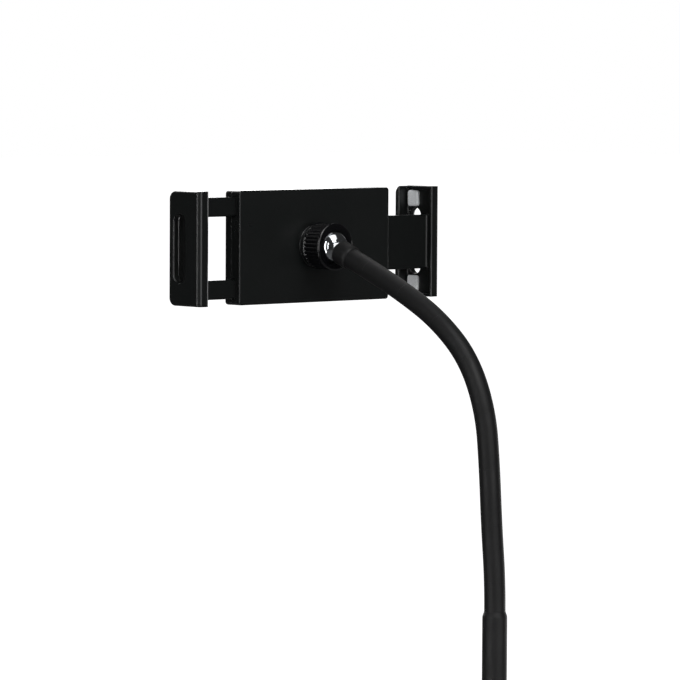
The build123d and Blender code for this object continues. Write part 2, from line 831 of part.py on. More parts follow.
def spring(low, high):
    """An extension spring's wound body between two pegs along X, with an eye at each end."""
    eye = peg_radius + spring_eye_gap + spring_eye_wire
    start = low + eye
    end = high - eye
    wound = ring(spring_radius, spring_bore_radius, start + spring_tail, end - spring_tail)
    body = Rot(0, 90, 0) * wound
    for near_end, far_end, middle in ((start, start + spring_tail, low), (end - spring_tail, end, high)):
        body += Rot(0, 90, 0) * ring(spring_eye_wire, 0, near_end, far_end)
        body += Pos(middle, 0, 0) * TO_Y * Torus(eye, spring_eye_wire)
    reach = spring_bore_radius + spring_eye_wire
    for x in (start + spring_tail, end - spring_tail - 2 * spring_eye_wire):
        body += Pos(x, 0, 0) * Rot(0, 90, 0) * ring(reach, 0, 0, 2 * spring_eye_wire)
    return body


def spring_pair(low, high, height):
    """Two springs of one arm, as one group."""
    pair = [on_head(Pos(0, spring_depth, z) * spring(low, high)) for z in both([height])]
    return Compound(children=pair)


def fork_springs():
    """The springs that pull the fork inwards."""
    return spring_pair(-anchor_place, fork_place - peg_place, fork_spring_height)


def tongue_springs():
    """The springs that pull the tongue inwards."""
    return spring_pair(peg_place - tongue_place, anchor_place, tongue_spring_height)


pieces = {
    "base_plate": base_plate,
    "underside_pad": underside_pad,
    "base_washer": base_washer,
    "base_bolt": base_bolt,
    "tube_insert": tube_insert,
    "foot_cone": foot_cone,
    "lower_tube": lower_tube,
    "height_collar": height_collar,
    "clamp_insert": clamp_insert,
    "pressure_tip": pressure_tip,
    "clamp_stud": clamp_stud,
    "clamp_knob": clamp_knob,
    "knob_cap": knob_cap,
    "friction_sleeve": friction_sleeve,
    "upper_tube": upper_tube,
    "guide_bush": guide_bush,
    "pole_cap": pole_cap,
    "grub_screw": grub_screw,
    "lower_ferrule": lower_ferrule,
    "upper_ferrule": upper_ferrule,
    "ball_stud": ball_stud,
    "friction_liner": friction_liner,
    "seat_cup": seat_cup,
    "split_collet": split_collet,
    "lock_nut": lock_nut,
    "back_shell": back_shell,
    "front_shell": front_shell,
    "shell_screws": shell_screws,
    "rest_pad": rest_pad,
    "fork_arm": fork_arm,
    "tongue_arm": tongue_arm,
    "fork_jaw_pads": fork_jaw_pads,
    "tongue_jaw_pads": tongue_jaw_pads,
    "fork_springs": fork_springs,
    "tongue_springs": tongue_springs,
}

os.makedirs("parts", exist_ok=True)
for name, make in pieces.items():
    export_step(make(), f"parts/{name}.step")
for number in range(len(link_turns)):
    core = link_solid(number, core_radius, 0)
    sheath = link_solid(number, sheath_radius, sheath_bore_radius)
    export_step(core, f"parts/neck_core_{number + 1}.step")
    export_step(sheath, f"parts/neck_sheath_{number + 1}.step")
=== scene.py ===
import math

import bpy
import numpy as np
from mathutils import Matrix, Vector


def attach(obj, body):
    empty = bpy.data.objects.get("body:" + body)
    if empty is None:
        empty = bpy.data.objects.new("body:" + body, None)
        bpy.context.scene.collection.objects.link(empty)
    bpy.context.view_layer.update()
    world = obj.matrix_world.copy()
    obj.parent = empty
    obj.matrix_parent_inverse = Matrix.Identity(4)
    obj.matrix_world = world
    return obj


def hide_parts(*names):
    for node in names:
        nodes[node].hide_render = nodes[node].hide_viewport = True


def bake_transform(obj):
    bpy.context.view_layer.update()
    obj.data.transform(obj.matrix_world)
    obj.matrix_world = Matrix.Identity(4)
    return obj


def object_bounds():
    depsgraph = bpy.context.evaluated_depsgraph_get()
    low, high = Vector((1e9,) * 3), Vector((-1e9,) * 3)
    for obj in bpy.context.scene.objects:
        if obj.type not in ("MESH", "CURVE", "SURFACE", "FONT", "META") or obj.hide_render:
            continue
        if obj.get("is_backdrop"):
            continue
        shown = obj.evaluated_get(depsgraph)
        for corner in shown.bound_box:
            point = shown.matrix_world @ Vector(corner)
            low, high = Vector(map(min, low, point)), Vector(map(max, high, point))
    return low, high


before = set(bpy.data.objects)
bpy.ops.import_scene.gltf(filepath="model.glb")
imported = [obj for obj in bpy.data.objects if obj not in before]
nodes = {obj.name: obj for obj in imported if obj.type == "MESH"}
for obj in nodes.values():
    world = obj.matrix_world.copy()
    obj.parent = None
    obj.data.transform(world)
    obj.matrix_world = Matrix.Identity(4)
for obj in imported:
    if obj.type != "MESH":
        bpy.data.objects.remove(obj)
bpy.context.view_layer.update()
MM = 0.001

# Measures of the stand as the solids have them, in millimetres; the neck's turns are in degrees
FERRULE_SEAT = 930.5
STUB_END = 916.5
STUB_R = 5.0
NECK_FOOT = 999.5
SHEATH_R = 6.0
SHEATH_BORE = 4.35
FERRULE_R = 7.0
CUP_R = 7.3
LINK = 31.5
TURNS = (5.5, -2.0, 2.5, 19.0, 24.5, 13.5, 4.5, 1.5)
STEM_START = 18.5
BALL_TO_FERRULE = 8.0
TAIL_R = 3.0
TAIL_END = 12.3
STEM_R = 5.5
BALL_R = 9.5
BALL_DEPTH = 30.1
EDGE_BREAK = 0.4


# Surfaces


def put_mesh(name, points, faces, material, smooth_angle=35.0):
    """Puts points in millimetres and faces of any size in a mesh whose object stays at the origin."""
    mesh = bpy.data.meshes.new(name)
    mesh.from_pydata((np.asarray(points, float).reshape(-1, 3) * MM).tolist(), [], faces)
    mesh.validate()
    mesh.update()
    piece = bpy.data.objects.new(name, mesh)
    bpy.context.scene.collection.objects.link(piece)
    mesh.materials.append(material)
    mesh.polygons.foreach_set("use_smooth", [True] * len(mesh.polygons))
    mesh.set_sharp_from_angle(angle=math.radians(smooth_angle))
    return piece


def grid_faces(rows, columns, close_rows, close_columns):
    """Quads of a grid of points counted row by row, which may close on itself either way."""
    r = np.arange(rows if close_rows else rows - 1)
    c = np.arange(columns if close_columns else columns - 1)
    rr, cc = np.meshgrid(r, c, indexing="ij")
    r2, c2 = (rr + 1) % rows, (cc + 1) % columns
    quads = np.stack([rr * columns + cc, rr * columns + c2, r2 * columns + c2, r2 * columns + cc], -1)
    return quads.reshape(-1, 4).tolist()


def grid_ends(rows, columns):
    """The two flat ends of a grid whose columns close: its first row turned over, and its last row."""
    last = (rows - 1) * columns
    return [list(range(columns))[::-1], list(range(last, last + columns))]


def moved(points, place):
    """Points turned and shifted by a 4 x 4 place."""
    return points @ place[:3, :3].T + place[:3, 3]


def turned(name, outline, material, steps=128, place=np.eye(4), depth=None):
    """A solid of revolution about Z: each outline point (r, z) becomes (r cos t, r sin t, z).

    The outline runs up the outside. It closes on itself, or starts and ends on the axis, where r is 0.
    depth(t, r, z) may give how far each point sinks towards the axis.
    """
    r, z = np.asarray(outline, float).T
    on_axis = r[0] < 1e-6 and r[-1] < 1e-6
    if on_axis:
        poles = np.array([[0, 0, z[0]], [0, 0, z[-1]]])
        r, z = r[1:-1], z[1:-1]
    t = np.linspace(0, 2 * math.pi, steps, endpoint=False)[:, None]
    radius = r - depth(t, r, z) if depth else r + 0 * t
    points = np.stack([radius * np.cos(t), radius * np.sin(t), z + 0 * t], -1).reshape(-1, 3)
    columns = len(r)
    faces = grid_faces(steps, columns, True, not on_axis)
    faces = [face[::-1] for face in faces]
    if on_axis:
        first = np.arange(steps) * columns
        second = np.roll(first, -1)
        foot, head = len(points), len(points) + 1
        faces += [[foot, int(b), int(a)] for a, b in zip(first, second)]
        faces += [[head, int(a), int(b)] for a, b in zip(first + columns - 1, second + columns - 1)]
        points = np.vstack([points, poles])
    return put_mesh(name, moved(points, place), faces, material)


def arc(centre, radius, start, end, steps):
    """Points of a circle in the (r, z) plane between two angles in degrees, counted from +r towards +z."""
    angle = np.radians(np.linspace(start, end, steps))
    return np.stack([centre[0] + radius * np.cos(angle), centre[1] + radius * np.sin(angle)], -1)


def rounded(corners, radii, steps=6):
    """A closed outline with each corner turned by an arc of its own radius, sampled at equal angles."""
    corners = [np.array(c, float) for c in corners]
    out = []
    for k, (corner, radius) in enumerate(zip(corners, radii)):
        before, after = corners[k - 1] - corner, corners[(k + 1) % len(corners)] - corner
        u, v = before / np.linalg.norm(before), after / np.linalg.norm(after)
        if radius <= 0:
            out.append(corner)
            continue
        half = math.acos(np.clip(u @ v, -1, 1)) / 2
        centre = corner + (u + v) / np.linalg.norm(u + v) * radius / math.sin(half)
        start = corner + u * radius / math.tan(half) - centre
        end = corner + v * radius / math.tan(half) - centre
        sweep = math.atan2(start[0] * end[1] - start[1] * end[0], start @ end)
        for s in np.linspace(0, sweep, steps):
            c, d = math.cos(s), math.sin(s)
            out.append(centre + np.array([c * start[0] - d * start[1], d * start[0] + c * start[1]]))
    return np.array(out)


def wire_along(line, guide, radius, sides=8):
    """A round wire on a centre line: each ring is radius (cos a N + sin a B).

    T is the line's direction, B is T x guide and N is B x T, all of length one.
    """
    tangent = np.gradient(line, axis=0)
    tangent /= np.linalg.norm(tangent, axis=1)[:, None]
    across = np.cross(tangent, guide)
    across /= np.linalg.norm(across, axis=1)[:, None]
    normal = np.cross(across, tangent)
    a = np.linspace(0, 2 * math.pi, sides, endpoint=False)
    rings = line[:, None] + radius * (np.cos(a)[:, None] * normal[:, None] + np.sin(a)[:, None] * across[:, None])
    faces = grid_faces(len(line), sides, False, True) + grid_ends(len(line), sides)
    return rings.reshape(-1, 3), [face[::-1] for face in faces]


def joined(bodies):
    """Several (points, faces) bodies as one."""
    points, faces, count = [], [], 0
    for body_points, body_faces in bodies:
        points.append(body_points)
        faces += [[v + count for v in face] for face in body_faces]
        count += len(body_points)
    return np.vstack(points), faces


# Neck line


def along_link(link, share):
    """The point and heading at a share of a link's length, which may pass 1 on the straight last stretch.

    A link of turn a starts at p with heading h. At share s of its length L its point is
    p + chord (-sin(h + s a / 2), cos(h + s a / 2)), where chord = L s sin(s a / 2) / (s a / 2).
    """
    y, z, heading, turn = link
    half = math.radians(turn) * share / 2
    chord = LINK * share * (math.sin(half) / half if abs(half) > 1e-9 else 1.0)
    lean = math.radians(heading) + half
    return y - chord * math.sin(lean), z + chord * math.cos(lean), heading + turn * share


def neck_links():
    """Each link's foot as (y, z, heading, turn), and last the neck's top, which runs on straight."""
    y, z, heading = 0.0, NECK_FOOT, 0.0
    links = []
    for turn in TURNS:
        links.append((y, z, heading, turn))
        y, z, heading = along_link(links[-1], 1.0)
    return links + [(y, z, heading, 0.0)]


def frame_at(y, z, heading):
    """A 4 x 4 place whose +Z runs along the neck and whose +X is the world's."""
    lean = math.radians(heading)
    place = np.eye(4)
    place[:3, :3] = np.array([[1, 0, 0], [0, math.cos(lean), -math.sin(lean)], [0, math.sin(lean), math.cos(lean)]])
    place[:3, 3] = (0, y, z)
    return place


LINKS = neck_links()
BALL_PLACE = frame_at(*along_link(LINKS[-1], STEM_START / LINK))
BALL_Y, BALL_Z = BALL_PLACE[1, 3], BALL_PLACE[2, 3]
REST_Y = BALL_Y - BALL_DEPTH
# The head's own axis runs outwards from the rest plane along +Y
HEAD_PLACE = np.array([[1, 0, 0, 0], [0, 0, 1, REST_Y], [0, -1, 0, BALL_Z], [0, 0, 0, 1.0]])


def neck_places(low, high, count):
    """Places along the neck between two distances, counted in links from the foot."""
    places = []
    for s in np.linspace(low, high, count):
        link = min(int(s), len(LINKS) - 1) if s > 0 else 0
        places.append(frame_at(*along_link(LINKS[link], s - link)))
    return places


def tube_along(name, places, radius, bore, material, steps=48):
    """A tube along the neck: at each place the circle r (cos t, sin t) stands square to the line.

    The rings run up the outside and back down the inside, so that both ends close.
    """
    t = np.linspace(0, 2 * math.pi, steps, endpoint=False)
    circle = np.stack([np.cos(t), np.sin(t), 0 * t], -1)
    rings = [moved(circle * radius, place) for place in places]
    rings += [moved(circle * bore, place) for place in places[::-1]]
    return put_mesh(name, np.array(rings), grid_faces(len(rings), steps, True, True), material)


# Materials


def colour(code):
    """An sRGB hex value as linear red, green, blue and 1."""
    parts = [int(code[k:k + 2], 16) / 255 for k in (0, 2, 4)]
    return [c / 12.92 if c <= 0.04045 else ((c + 0.055) / 1.055) ** 2.4 for c in parts] + [1.0]


def add(tree, kind, inputs=None, **settings):
    """Adds a node, sets its settings, and fills or links its inputs."""
    made = tree.nodes.new(kind)
    for key, value in settings.items():
        setattr(made, key, value)
    for key, value in (inputs or {}).items():
        if isinstance(value, bpy.types.NodeSocket):
            tree.links.new(value, made.inputs[key])
        else:
            made.inputs[key].default_value = value
    return made


def new_material(name, ior=1.5, specular=0.5, metallic=0.0):
    """A material with its shader and output and nothing linked yet."""
    material = bpy.data.materials.new(name)
    material.use_nodes = True
    tree = material.node_tree
    tree.nodes.clear()
    shader = add(tree, "ShaderNodeBsdfPrincipled")
    add(tree, "ShaderNodeOutputMaterial", {"Surface": shader.outputs["BSDF"]})
    shader.inputs["Metallic"].default_value = metallic
    if not metallic:
        shader.inputs["IOR"].default_value = ior
        shader.inputs["Specular IOR Level"].default_value = specular
    return material, tree, shader


def seen_straight(tree):
    """The light path, and a value of 1 for rays that the camera sees straight or through glass."""
    path = add(tree, "ShaderNodeLightPath")
    seen = add(tree, "ShaderNodeMath", {0: path.outputs["Is Camera Ray"], 1: path.outputs["Is Transmission Ray"]},
               operation="MAXIMUM")
    return path, seen


# The share of its range that a noise fills, and the turns of the normal between which an edge is rubbed
NOISE_LOW, NOISE_HIGH = 0.3, 0.7
EDGE_TURN, FLAT_TURN = 0.96, 0.998


def finish(name, dark, light, grain_mm, bump_mm, rough, handled=0.06, handled_mm=25.0, edge_mm=0.35, rubbed=0.0,
           **optics):
    """A solid finish: a fine grain of a real size moves the colour and the bump, and handling the roughness.

    The grain is noise of grain_mm. Handling is a broad, stretched noise of handled_mm that changes the
    roughness by the given amount either way, like the marks that hands and dust leave. Light rounds off
    over edge_mm at every sharp edge, as it does on a real moulding. There the roughness is lower by rubbed,
    because hands and cloths polish the edges first.
    """
    material, tree, shader = new_material(name, **optics)
    place = add(tree, "ShaderNodeTexCoord").outputs["Object"]
    grain = add(tree, "ShaderNodeTexNoise", {"Vector": place, "Scale": 1 / (grain_mm * MM), "Detail": 3.0})
    broad = add(tree, "ShaderNodeTexNoise", {"Vector": place, "Scale": 1 / (handled_mm * MM), "Detail": 4.0,
                                             "Roughness": 0.6, "Distortion": 0.4})
    both = add(tree, "ShaderNodeMath", {0: grain.outputs["Fac"], 1: broad.outputs["Fac"]}, operation="ADD")
    share = add(tree, "ShaderNodeMapRange", {"Value": both.outputs[0], "From Min": 0.75, "From Max": 1.25})
    tint = add(tree, "ShaderNodeMix", {"Factor": share.outputs[0]}, data_type="RGBA")
    tint.inputs[6].default_value = colour(dark)
    tint.inputs[7].default_value = colour(light)
    wear = add(tree, "ShaderNodeMapRange", {"Value": broad.outputs["Fac"], "From Min": NOISE_LOW,
                                            "From Max": NOISE_HIGH, "To Min": rough + handled,
                                            "To Max": rough - handled})
    edge = add(tree, "ShaderNodeBevel", samples=10)
    edge.inputs["Radius"].default_value = edge_mm * MM
    bump = add(tree, "ShaderNodeBump", {"Height": grain.outputs["Fac"], "Distance": bump_mm * MM,
                                        "Normal": edge.outputs[0]})
    tree.links.new(tint.outputs[2], shader.inputs["Base Color"])
    flat = add(tree, "ShaderNodeNewGeometry").outputs["True Normal"]
    turn = add(tree, "ShaderNodeVectorMath", {0: edge.outputs[0], 1: flat}, operation="DOT_PRODUCT")
    shine = add(tree, "ShaderNodeMapRange", {"Value": turn.outputs["Value"], "From Min": EDGE_TURN,
                                             "From Max": FLAT_TURN, "To Min": rubbed, "To Max": 0.0})
    sheen = add(tree, "ShaderNodeMath", {0: wear.outputs[0], 1: shine.outputs[0]}, operation="SUBTRACT")
    tree.links.new(sheen.outputs[0], shader.inputs["Roughness"])
    tree.links.new(bump.outputs[0], shader.inputs["Normal"])
    return material


# Powder coat on steel: satin black, with the soft waves that the baked powder leaves every 1.5 mm
powder_coat = finish("powder_coated_steel", "0e0e10", "141416", 1.5, 0.006, 0.40, specular=0.4)
# Moulded ABS with a spark-eroded grain: a satin black. The real grain of 0.1 mm is drawn at 0.5 mm to show
moulded_abs = finish("spark_grained_abs", "0b0d0d", "111313", 0.5, 0.008, 0.31, handled=0.04, edge_mm=0.8,
                     rubbed=0.18)
# The same ABS on the arms: its jaws' edges are rounder, and light runs along them in broad lines
arm_abs = finish("spark_grained_abs_of_arms", "090b0b", "0e1010", 0.5, 0.008, 0.31, handled=0.04, edge_mm=1.8,
                 rubbed=0.18)
# Soft PVC drawn over the neck: an even dark grey with a broad dull sheen
soft_pvc = finish("soft_pvc_sleeve", "0b0b0c", "101011", 0.9, 0.014, 0.54, handled_mm=18.0, specular=0.28)
# Polished ABS of the nut: glossy black, with faint ripples from the mould
gloss_abs = finish("polished_black_abs", "050506", "08080a", 2.5, 0.003, 0.12, handled=0.03, edge_mm=0.7, ior=1.53)
# Hard chrome on the steel ball: a mirror with a trace of polishing haze
chrome = finish("chromed_steel", "b4b7bb", "c6c9cc", 1.2, 0.0008, 0.11, handled=0.02, handled_mm=6.0, metallic=1.0)
# Thermoplastic rubber of the pads: nearly black, dry and soft
dark_rubber = finish("moulded_tpr", "111112", "1a1a1b", 0.6, 0.03, 0.74, specular=0.35)
# Zinc-plated steel: cool grey with a blue cast and a fine crystalline plate
zinc_steel = finish("zinc_plated_steel", "8f949c", "b4b7bc", 0.4, 0.004, 0.32, handled_mm=8.0, metallic=1.0)
# Turned brass: warm yellow with dull patches where it has been touched
turned_brass = finish("turned_brass", "a8843c", "c8a254", 0.3, 0.003, 0.28, handled_mm=6.0, metallic=1.0)
# Natural nylon: waxy off-white
natural_nylon = finish("natural_nylon", "cbc8bb", "dcd9ce", 0.6, 0.010, 0.46, ior=1.53)
# Hard-drawn spring wire: bright, with faint drawing marks
spring_wire = finish("hard_drawn_spring_wire", "9ea1a6", "bcbec2", 0.15, 0.002, 0.24, handled_mm=4.0, metallic=1.0)


FOAM_CELL = 0.7
FOAM_WALL_HIGH = 0.04


def foam_finish():
    """Closed-cell EVA foam: fine cells with thin raised walls, pale grey, with no gloss. The hollows between the
    walls are painted a darker grey, as painted shade.
    """
    material, tree, shader = new_material("closed_cell_eva_foam", ior=1.45, specular=0.3)
    place = add(tree, "ShaderNodeTexCoord").outputs["Object"]
    cells = add(tree, "ShaderNodeTexVoronoi", {"Vector": place, "Scale": 1 / (FOAM_CELL * MM)},
                feature="DISTANCE_TO_EDGE")
    wall = add(tree, "ShaderNodeMapRange", {"Value": cells.outputs["Distance"], "From Max": 0.18,
                                            "To Min": 1.0, "To Max": 0.0})
    # Painted shade: the raised walls take the lighter grey, and the hollows between them the darker
    tint = add(tree, "ShaderNodeMix", {"Factor": wall.outputs[0]}, data_type="RGBA")
    tint.inputs[6].default_value = colour("c2c4c6")
    tint.inputs[7].default_value = colour("dadcde")
    bump = add(tree, "ShaderNodeBump", {"Height": wall.outputs[0], "Distance": FOAM_WALL_HIGH * MM})
    tree.links.new(tint.outputs[2], shader.inputs["Base Color"])
    tree.links.new(bump.outputs[0], shader.inputs["Normal"])
    shader.inputs["Roughness"].default_value = 0.88
    return material


pale_foam = foam_finish()

FINISH = {
    powder_coat: ["base_plate", "lower_tube", "upper_tube"],
    moulded_abs: ["foot_cone", "height_collar", "clamp_knob", "knob_cap", "pole_cap", "back_shell",
                  "front_shell", "split_collet"],
    arm_abs: ["fork_arm", "tongue_arm"],
    soft_pvc: [f"neck_sheath_{k}" for k in range(1, 9)] + ["lower_ferrule", "upper_ferrule"],
    gloss_abs: ["lock_nut"],
    chrome: ["ball_stud"],
    dark_rubber: ["underside_pad", "rest_pad", "friction_liner"],
    pale_foam: ["fork_jaw_pads", "tongue_jaw_pads"],
    zinc_steel: ["base_washer", "base_bolt", "tube_insert", "clamp_stud", "grub_screw", "shell_screws"]
                + [f"neck_core_{k}" for k in range(1, 9)],
    turned_brass: ["clamp_insert", "pressure_tip"],
    natural_nylon: ["friction_sleeve", "guide_bush", "seat_cup"],
    spring_wire: ["fork_springs", "tongue_springs"],
}
for material, names in FINISH.items():
    for name in names:
        mesh = nodes[name].data
        mesh.materials.clear()
        mesh.materials.append(material)


def stands_for(piece, body, node):
    """A piece that rides on a body in place of the body's own node."""
    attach(piece, body)
    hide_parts(node)


# Neck sleeve: eight stretches laid along the neck as it rests, and the straight end, which rides on the neck's last
# link

# Where the sleeve starts, its last bending stretch ends and it ends itself, counted in links from the foot
SLEEVE_START = -0.125
LAST_BEND = 7.5
SLEEVE_END = 8.18


def neck_spot(s):
    """The neck's centre line in metres at a distance counted in links."""
    return (neck_places(s, s, 1)[0][:3, 3] * MM).tolist()


for k in range(1, 9):
    low = SLEEVE_START if k == 1 else k - 1.5
    sleeve = tube_along(f"neck_sleeve_{k}", neck_places(low, k - 0.5, 40), SHEATH_R, SHEATH_BORE, soft_pvc)
    neck_spot(low)
    neck_spot(k - 0.5)
    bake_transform(sleeve)
    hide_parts(f"neck_sheath_{k}")
top_sleeve = tube_along("neck_sleeve_9", neck_places(LAST_BEND, SLEEVE_END, 24), SHEATH_R, SHEATH_BORE, soft_pvc)
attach(top_sleeve, "neck_8")


# Ferrules: heat-shrunk sleeves whose shoulders slope down to the neck

# Points of the shoulders: how far inside the sleeve's radius, and how far below the neck's foot or above its end
LOWER_SHOULDER = ((0, 4.9), (0.02, 4.1), (0.12, 3.4), (0.32, 2.7), (0.58, 2.1), (0.76, 1.6), (0.84, 1.1), (0.97, 1.0))
UPPER_SHOULDER = ((0.94, 0), (0.8, 0.02), (0.58, 0.3), (0.34, 0.75), (0.14, 1.35), (0.03, 2.0), (0, 2.6))
FERRULE_BREAK = 0.2
FERRULE_MIDDLE = 960.0
CUP_FROM = -38
FERRULE_ROUND = 0.9
SHEATH_SEAT_R = 6.06
SHEATH_SEAT_DEPTH = 6.0
TAIL_GAP = 0.05


def lower_ferrule_outline():
    """Up the stub and the sleeve, over the sloping shoulder, and down the cup under the first link."""
    slope = [(FERRULE_R - inside, NECK_FOOT - below) for inside, below in LOWER_SHOULDER]
    cup = arc((0, NECK_FOOT), CUP_R, CUP_FROM, -90, 12)
    stub = [(0, STUB_END), (STUB_R - EDGE_BREAK, STUB_END), (STUB_R, STUB_END + EDGE_BREAK), (STUB_R, FERRULE_SEAT)]
    foot = [(FERRULE_R - FERRULE_BREAK, FERRULE_SEAT), (FERRULE_R, FERRULE_SEAT + FERRULE_BREAK),
            (FERRULE_R, FERRULE_MIDDLE)]
    return np.array(stub + foot + slope + cup.tolist())


stands_for(turned("lower_ferrule_sleeve", lower_ferrule_outline(), soft_pvc), "upper_pole", "lower_ferrule")


def upper_ferrule_outline():
    """A short sleeve with a bore for the neck's end and a smaller one for the ball's tail."""
    far, near = -STEM_START, -BALL_TO_FERRULE
    slope = [(FERRULE_R - inside, far + above) for inside, above in UPPER_SHOULDER]
    end = arc((FERRULE_R - FERRULE_ROUND, near - FERRULE_ROUND), FERRULE_ROUND, 0, 90, 10).tolist()
    seat, bore = far + SHEATH_SEAT_DEPTH, TAIL_R + TAIL_GAP
    bores = [(bore, near), (bore, seat), (SHEATH_SEAT_R, seat)]
    return np.array(slope + end + bores)


stands_for(turned("upper_ferrule_sleeve", upper_ferrule_outline(), soft_pvc, place=BALL_PLACE), "neck_8",
           "upper_ferrule")


# Ball and stem, a polished turned piece


def ball_outline():
    """The tail, the stem, the thin cone that blunts the stem's root, and the ball."""
    root = -math.sqrt(BALL_R ** 2 - STEM_R ** 2)
    tail = [(0, -TAIL_END), (TAIL_R - EDGE_BREAK, -TAIL_END), (TAIL_R, EDGE_BREAK - TAIL_END),
            (TAIL_R, -BALL_TO_FERRULE)]
    stem = [(STEM_R - 0.15, -BALL_TO_FERRULE), (STEM_R, 0.1 - BALL_TO_FERRULE), (STEM_R, root)]
    start = math.degrees(math.atan2(root, STEM_R))
    ball = arc((0, 0), BALL_R, start + 0.8, 90, 72)
    ball[-1] = (0, BALL_R)
    return np.array(tail + stem + ball.tolist())


stands_for(turned("ball_and_stem", ball_outline(), chrome, place=BALL_PLACE), "neck_8", "ball_stud")


# Lock nut: smooth rims, and 36 round grooves between them

NUT_R = 13.65
BAND_R = 13.4
NUT_BACK = 19.3
NUT_FRONT = 33.4
NUT_RIM = 1.7
NUT_LIP = 1.3
BACK_RIM_ROUND = 0.85
FRONT_RIM_ROUND = 0.95
BAND_MARGIN = 0.15
MOUTH_GAP = 0.1
MOUTH_BREAK = 0.12
MOUTH_LAND = 0.1
BORE_GAP = 0.1
GROOVE_RAMP = 0.5
NUT_GROOVES = 36
GROOVE_R = 0.7
GROOVE_CENTRE = 0.245
SPIGOT_R = 11.6


def nut_outline():
    """Two raised round rims with the grooved band between them, the front lip, the round mouth, and the bore.

    The bore takes the spigot. The mouth is round about the ball's middle.
    """
    back_band, front_band = NUT_BACK + NUT_RIM + BAND_MARGIN, NUT_FRONT - NUT_RIM - BAND_MARGIN
    band = [(BAND_R, z) for z in np.linspace(back_band, front_band, 34)]
    back_rim = arc((NUT_R - BACK_RIM_ROUND, NUT_BACK + BACK_RIM_ROUND), BACK_RIM_ROUND, -90, 45, 18).tolist()
    front_rim = arc((NUT_R - FRONT_RIM_ROUND, NUT_FRONT - FRONT_RIM_ROUND), FRONT_RIM_ROUND, -42, 90, 18).tolist()
    mouth_r = BALL_R + MOUTH_GAP
    out = math.degrees(math.acos((NUT_FRONT - MOUTH_LAND - BALL_DEPTH) / mouth_r))
    lip_low = NUT_FRONT - NUT_LIP
    inn = math.degrees(math.acos((lip_low - BALL_DEPTH) / mouth_r))
    mouth = arc((0, BALL_DEPTH), mouth_r, 90 - out, 90 - inn, 6)
    edge = [(mouth[0][0] + MOUTH_BREAK, NUT_FRONT)]
    bore = [(SPIGOT_R + BORE_GAP, lip_low), (SPIGOT_R + BORE_GAP, NUT_BACK)]
    return np.array(back_rim + band + front_rim + edge + mouth.tolist() + bore)


def nut_grooves(t, r, z):
    """Depth of the grooves: a circle of radius g centred c outside the rim cuts sqrt(g^2 - x^2) - c.

    x is the distance round the rim from the nearest groove's middle. A groove ends in a short ramp.
    """
    pitch = 2 * math.pi / NUT_GROOVES
    x = BAND_R * (np.mod(t + pitch / 2, pitch) - pitch / 2)
    cut = np.sqrt(np.clip(GROOVE_R ** 2 - x ** 2, 0, None)) - GROOVE_CENTRE
    ramp = np.clip(np.minimum(z - NUT_BACK - NUT_RIM, NUT_FRONT - NUT_RIM - z) / GROOVE_RAMP, 0, 1)
    return np.clip(cut, 0, None) * ramp * (np.abs(r - BAND_R) < 0.001)


stands_for(turned("grooved_lock_nut", nut_outline(), gloss_abs, steps=NUT_GROOVES * 16, place=HEAD_PLACE,
                  depth=nut_grooves), "nut", "lock_nut")


# Rest pad on the housing's face

PAD_HALF_X = 52.65
PAD_HALF_Z = 26.65
PAD_CORNER = 3.0
PAD_THICK = 3.5
PAD_EDGE = 0.6
PAD_GROOVES = (-18.0, -9.0, 0.0, 9.0, 18.0)
PAD_GROOVE_HALF = 0.8
PAD_GROOVE_DEEP = 0.7


def rest_pad_form():
    """The pad as a grid of rows up its height and columns across its face and back behind it.

    A row's half length is X - c + sqrt(c^2 - d^2), d being how far the row stands in a corner of radius c.
    The face sinks by a half cosine across each groove, and by a quarter circle within e of the outline.
    """
    fine = np.linspace(-1.5, 1.5, 13) * PAD_GROOVE_HALF
    end = PAD_HALF_Z - PAD_CORNER * (1 - np.sin(np.linspace(0, math.pi / 2, 16)))
    levels = np.unique(np.round(np.concatenate([g + fine for g in PAD_GROOVES] + [end, -end]), 4))
    z = levels[:, None]
    d = np.clip(np.abs(z) - (PAD_HALF_Z - PAD_CORNER), 0, PAD_CORNER)
    half = PAD_HALF_X - PAD_CORNER + np.sqrt(PAD_CORNER ** 2 - d ** 2)
    inset = np.concatenate([PAD_EDGE * (1 - np.cos(np.linspace(0, math.pi / 2, 9))), [2, 8, 20, 35, 50]])
    face = np.concatenate([inset, 2 * PAD_HALF_X - inset[::-1]])[None] / (2 * PAD_HALF_X) * 2 - 1
    x = half * face
    near_side = np.clip(np.minimum(half - np.abs(x), PAD_HALF_Z - np.abs(z) + 0 * x), 0, PAD_EDGE)
    drop = PAD_EDGE - np.sqrt(np.clip(PAD_EDGE ** 2 - (PAD_EDGE - near_side) ** 2, 0, None))
    for middle in PAD_GROOVES:
        share = np.clip(np.abs(z - middle) / PAD_GROOVE_HALF, 0, 1)
        drop = np.maximum(drop, PAD_GROOVE_DEEP * (1 + np.cos(math.pi * share ** 2)) / 2 + 0 * x)
    front = np.stack([x, REST_Y + drop, BALL_Z + z + 0 * x], -1)
    back = front[:, ::-1].copy()
    back[..., 1] = REST_Y + PAD_THICK
    points = np.concatenate([front, back], axis=1)
    rows, columns = points.shape[:2]
    return points.reshape(-1, 3), grid_faces(rows, columns, False, True) + grid_ends(rows, columns)


stands_for(put_mesh("ribbed_rest_pad", *rest_pad_form(), dark_rubber, 50.0), "holder", "rest_pad")


# Jaw pads: soft foam blocks with round edges

JAW_PAD_MIDDLE = (-1.45, 25.3)
JAW_PAD_HALF = (4.25, 4.7)
JAW_PAD_THICK = 1.95
JAW_PAD_EDGE = 0.75
JAW_PAD_CORNER = 1.5
JAW_WALL_INNER = 3.0
FORK_PLACE = 82.75
TONGUE_PLACE = 93.65


